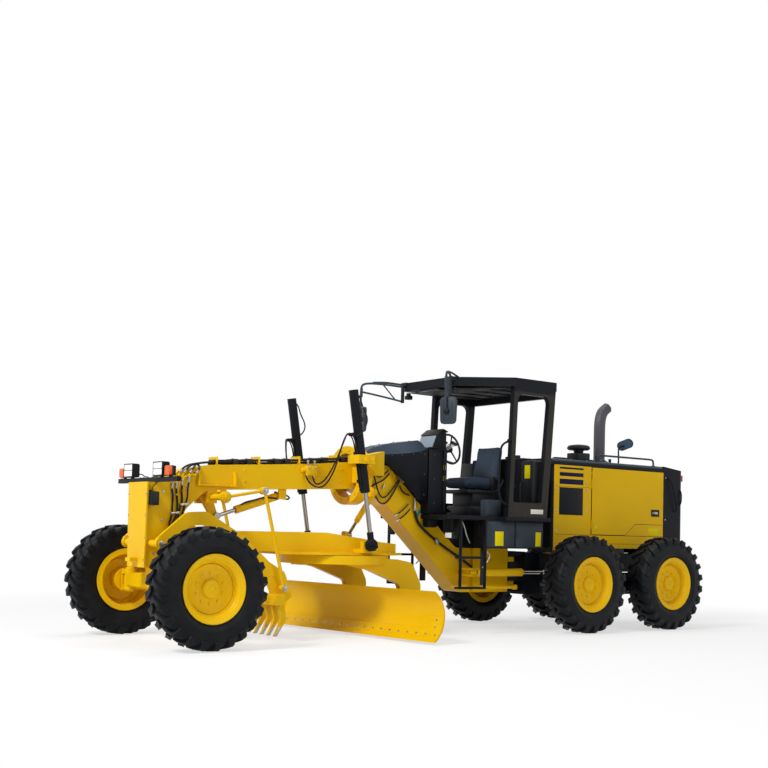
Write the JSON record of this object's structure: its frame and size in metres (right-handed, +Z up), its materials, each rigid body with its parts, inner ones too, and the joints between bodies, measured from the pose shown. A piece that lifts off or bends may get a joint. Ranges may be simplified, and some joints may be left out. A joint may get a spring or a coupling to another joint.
{
  "type": "motor grader",
  "caption": "Articulated motor grader with open canopy, turning blade under a gooseneck frame, mid-mounted scarifier, tandem rear wheels and opening engine doors.",
  "frame": {"origin": "on the ground, halfway along the machine's length and on its middle plane", "axes": "+X forward, +Y to the driver's left, +Z up"},
  "size_m": [8.743, 3.1037, 3.2],
  "materials": {
    "cast_steel": "rough grey casting",
    "chrome_rod": "polished chrome",
    "frame_black": "satin black enamel",
    "lamp_black": "black lamp housings",
    "machine_yellow": "gloss yellow enamel",
    "seat_vinyl": "grained black vinyl",
    "tyre_rubber": "matt black rubber"
  },
  "bodies": {
    "rear_frame": {"rear_frame": "machine_yellow", "tandem_axle": "machine_yellow", "engine_block": "cast_steel", "hood_panels": "machine_yellow", "hood_top": "machine_yellow", "radiator_housing": "frame_black", "exhaust_stack": "frame_black", "precleaner": "frame_black", "hood_rails": "frame_black"},
    "front_frame": {"front_frame": "machine_yellow", "front_axle": "machine_yellow", "lift_saddle": "machine_yellow", "cab_platform": "frame_black", "ladders": "machine_yellow", "canopy": "frame_black", "cowl": "frame_black", "console": "frame_black", "seat": "seat_vinyl", "hydraulic_tank": "frame_black", "mirrors": "frame_black", "lamp_bar": "lamp_black"},
    "wheel_front_left": {"tyre_front_left": "tyre_rubber", "rim_front_left": "machine_yellow"},
    "wheel_front_right": {"tyre_front_right": "tyre_rubber", "rim_front_right": "machine_yellow"},
    "wheel_middle_left": {"tyre_middle_left": "tyre_rubber", "rim_middle_left": "machine_yellow"},
    "wheel_middle_right": {"tyre_middle_right": "tyre_rubber", "rim_middle_right": "machine_yellow"},
    "wheel_rear_left": {"tyre_rear_left": "tyre_rubber", "rim_rear_left": "machine_yellow"},
    "wheel_rear_right": {"tyre_rear_right": "tyre_rubber", "rim_rear_right": "machine_yellow"},
    "knuckle_left": {"knuckle_left": "machine_yellow"},
    "lift_barrel_left": {"lift_barrel_left": "frame_black"},
    "lift_rod_left": {"lift_rod_left": "chrome_rod"},
    "engine_door_left": {"engine_door_left": "machine_yellow"},
    "hitch_barrel_left": {"hitch_barrel_left": "machine_yellow"},
    "hitch_rod_left": {"hitch_rod_left": "chrome_rod"},
    "knuckle_right": {"knuckle_right": "machine_yellow"},
    "lift_barrel_right": {"lift_barrel_right": "frame_black"},
    "lift_rod_right": {"lift_rod_right": "chrome_rod"},
    "engine_door_right": {"engine_door_right": "machine_yellow"},
    "hitch_barrel_right": {"hitch_barrel_right": "machine_yellow"},
    "hitch_rod_right": {"hitch_rod_right": "chrome_rod"},
    "tie_rod": {"tie_rod": "machine_yellow"},
    "drawbar": {"drawbar": "machine_yellow"},
    "circle": {"circle": "machine_yellow"},
    "blade_carrier": {"blade_carrier": "machine_yellow"},
    "moldboard": {"moldboard": "machine_yellow"},
    "scarifier": {"scarifier": "machine_yellow"},
    "scarifier_lever": {"scarifier_lever": "machine_yellow"},
    "push_rods": {"push_rods": "machine_yellow"},
    "scarifier_barrel": {"scarifier_barrel": "machine_yellow"},
    "scarifier_rod": {"scarifier_rod": "chrome_rod"},
    "swing_barrel": {"swing_barrel": "machine_yellow"},
    "swing_rod": {"swing_rod": "chrome_rod"}
  },
  "joints": [
    {"name": "articulation", "type": "hinge", "parent": "rear_frame", "child": "front_frame", "pos_m": [-1.3025, 0, 0.75], "axis": [0, 0, 1], "range_deg": [-25, 25]},
    {"name": "hitch_barrel_left_swing", "type": "hinge", "parent": "front_frame", "child": "hitch_barrel_left", "pos_m": [-0.3925, 0.4, 0.75], "axis": [0, 0, 1], "range_deg": [-8, 8]},
    {"name": "hitch_rod_left_slide", "type": "slide", "parent": "hitch_barrel_left", "child": "hitch_rod_left", "axis": [-1, 0, 0], "range_m": [-0.19, 0.19]},
    {"name": "hitch_barrel_right_swing", "type": "hinge", "parent": "front_frame", "child": "hitch_barrel_right", "pos_m": [-0.3925, -0.4, 0.75], "axis": [0, 0, 1], "range_deg": [-8, 8]},
    {"name": "hitch_rod_right_slide", "type": "slide", "parent": "hitch_barrel_right", "child": "hitch_rod_right", "axis": [-1, 0, 0], "range_m": [-0.19, 0.19]},
    {"name": "steer_left", "type": "hinge", "parent": "front_frame", "child": "knuckle_left", "pos_m": [3.6975, 0.8, 0.625], "axis": [0, 0, 1], "range_deg": [-40, 40]},
    {"name": "wheel_front_left_spin", "type": "hinge", "parent": "knuckle_left", "child": "wheel_front_left", "pos_m": [3.6975, 1.04, 0.625], "axis": [0, 1, 0], "continuous": true},
    {"name": "steer_right", "type": "hinge", "parent": "front_frame", "child": "knuckle_right", "pos_m": [3.6975, -0.8, 0.625], "axis": [0, 0, 1], "range_deg": [-40, 40]},
    {"name": "wheel_front_right_spin", "type": "hinge", "parent": "knuckle_right", "child": "wheel_front_right", "pos_m": [3.6975, -1.04, 0.625], "axis": [0, 1, 0], "continuous": true},
    {"name": "tie_rod_slide", "type": "slide", "parent": "front_frame", "child": "tie_rod", "axis": [0, 1, 0], "range_m": [-0.15, 0.15]},
    {"name": "wheel_middle_left_spin", "type": "hinge", "parent": "rear_frame", "child": "wheel_middle_left", "pos_m": [-1.7225, 1.04, 0.625], "axis": [0, 1, 0], "continuous": true},
    {"name": "wheel_middle_right_spin", "type": "hinge", "parent": "rear_frame", "child": "wheel_middle_right", "pos_m": [-1.7225, -1.04, 0.625], "axis": [0, 1, 0], "continuous": true},
    {"name": "wheel_rear_left_spin", "type": "hinge", "parent": "rear_frame", "child": "wheel_rear_left", "pos_m": [-3.2825, 1.04, 0.625], "axis": [0, 1, 0], "continuous": true},
    {"name": "wheel_rear_right_spin", "type": "hinge", "parent": "rear_frame", "child": "wheel_rear_right", "pos_m": [-3.2825, -1.04, 0.625], "axis": [0, 1, 0], "continuous": true},
    {"name": "drawbar_lift", "type": "hinge", "parent": "front_frame", "child": "drawbar", "pos_m": [3.3975, 0, 1], "axis": [0, 1, 0], "range_deg": [-6, 8]},
    {"name": "lift_barrel_left_swing", "type": "hinge", "parent": "front_frame", "child": "lift_barrel_left", "pos_m": [1.5675, 0.655, 2.05], "axis": [0, 1, 0], "range_deg": [-3, 3]},
    {"name": "lift_rod_left_slide", "type": "slide", "parent": "lift_barrel_left", "child": "lift_rod_left", "axis": [-0.1721, 0, -0.9851], "range_m": [-0.29, 0.22]},
    {"name": "lift_barrel_right_swing", "type": "hinge", "parent": "front_frame", "child": "lift_barrel_right", "pos_m": [1.5675, -0.655, 2.05], "axis": [0, 1, 0], "range_deg": [-3, 3]},
    {"name": "lift_rod_right_slide", "type": "slide", "parent": "lift_barrel_right", "child": "lift_rod_right", "axis": [-0.1721, 0, -0.9851], "range_m": [-0.29, 0.22]},
    {"name": "swing_barrel_swing", "type": "hinge", "parent": "front_frame", "child": "swing_barrel", "pos_m": [1.1375, 0.33, 1.7], "axis": [1, 0, 0], "range_deg": [-30, 30]},
    {"name": "swing_rod_slide", "type": "slide", "parent": "swing_barrel", "child": "swing_rod", "axis": [0, -0.7036, -0.7105], "range_m": [-0.2, 0.2]},
    {"name": "circle_turn", "type": "hinge", "parent": "drawbar", "child": "circle", "pos_m": [1.4675, 0, 0.85], "axis": [0, 0, 1], "range_deg": [-45, 35]},
    {"name": "blade_pitch", "type": "hinge", "parent": "circle", "child": "blade_carrier", "pos_m": [0.84986, -0.05404, 0.3], "axis": [-0.0872, 0.9962, 0], "range_deg": [-5, 40]},
    {"name": "blade_shift", "type": "slide", "parent": "blade_carrier", "child": "moldboard", "axis": [-0.0872, 0.9962, 0], "range_m": [-0.5, 0.5]},
    {"name": "scarifier_lift", "type": "hinge", "parent": "front_frame", "child": "scarifier", "pos_m": [3.9275, 0, 1.057], "axis": [0, 1, 0], "range_deg": [-10, 6]},
    {"name": "scarifier_lever_turn", "type": "hinge", "parent": "front_frame", "child": "scarifier_lever", "pos_m": [3.1975, 0, 1.565], "axis": [0, 1, 0], "range_deg": [-33, 20]},
    {"name": "push_rod_swing", "type": "hinge", "parent": "scarifier", "child": "push_rods", "pos_m": [2.4575, 0, 0.587], "axis": [0, 1, 0], "range_deg": [-4, 6]},
    {"name": "scarifier_barrel_swing", "type": "hinge", "parent": "front_frame", "child": "scarifier_barrel", "pos_m": [2.2775, 0, 1.62], "axis": [0, 1, 0], "range_deg": [-3, 3]},
    {"name": "scarifier_rod_slide", "type": "slide", "parent": "scarifier_barrel", "child": "scarifier_rod", "axis": [0.9528, 0, -0.3037], "range_m": [-0.08, 0.13]},
    {"name": "engine_door_left_hinge", "type": "hinge", "parent": "rear_frame", "child": "engine_door_left", "pos_m": [-2.3925, 0.5103, 1.715], "axis": [0, 0, 1], "range_deg": [-95, 0]},
    {"name": "engine_door_right_hinge", "type": "hinge", "parent": "rear_frame", "child": "engine_door_right", "pos_m": [-2.3925, -0.5103, 1.715], "axis": [0, 0, 1], "range_deg": [0, 95]}
  ],
  "couplings": [
    {"joint": "hitch_barrel_left_swing", "follows": "articulation", "ratio": -0.252},
    {"joint": "hitch_rod_left_slide", "follows": "articulation", "m_per_rad": -0.395},
    {"joint": "hitch_barrel_right_swing", "follows": "articulation", "ratio": -0.252},
    {"joint": "hitch_rod_right_slide", "follows": "articulation", "m_per_rad": 0.395},
    {"joint": "steer_right", "follows": "steer_left", "ratio": 1},
    {"joint": "tie_rod_slide", "follows": "steer_left", "m_per_rad": -0.20256},
    {"joint": "lift_barrel_left_swing", "follows": "drawbar_lift", "ratio": 0.24},
    {"joint": "lift_rod_left_slide", "follows": "drawbar_lift", "m_per_rad": -1.985},
    {"joint": "lift_barrel_right_swing", "follows": "drawbar_lift", "ratio": 0.24},
    {"joint": "lift_rod_right_slide", "follows": "drawbar_lift", "m_per_rad": -1.985},
    {"joint": "swing_barrel_swing", "follows": "drawbar_lift", "ratio": -2.5},
    {"joint": "swing_rod_slide", "follows": "drawbar_lift", "m_per_rad": -1.35},
    {"joint": "scarifier_lever_turn", "follows": "scarifier_lift", "ratio": 3.15},
    {"joint": "push_rod_swing", "follows": "scarifier_lift", "ratio": -0.45},
    {"joint": "scarifier_barrel_swing", "follows": "scarifier_lift", "ratio": -0.15},
    {"joint": "scarifier_rod_slide", "follows": "scarifier_lift", "m_per_rad": -0.7}
  ]
}
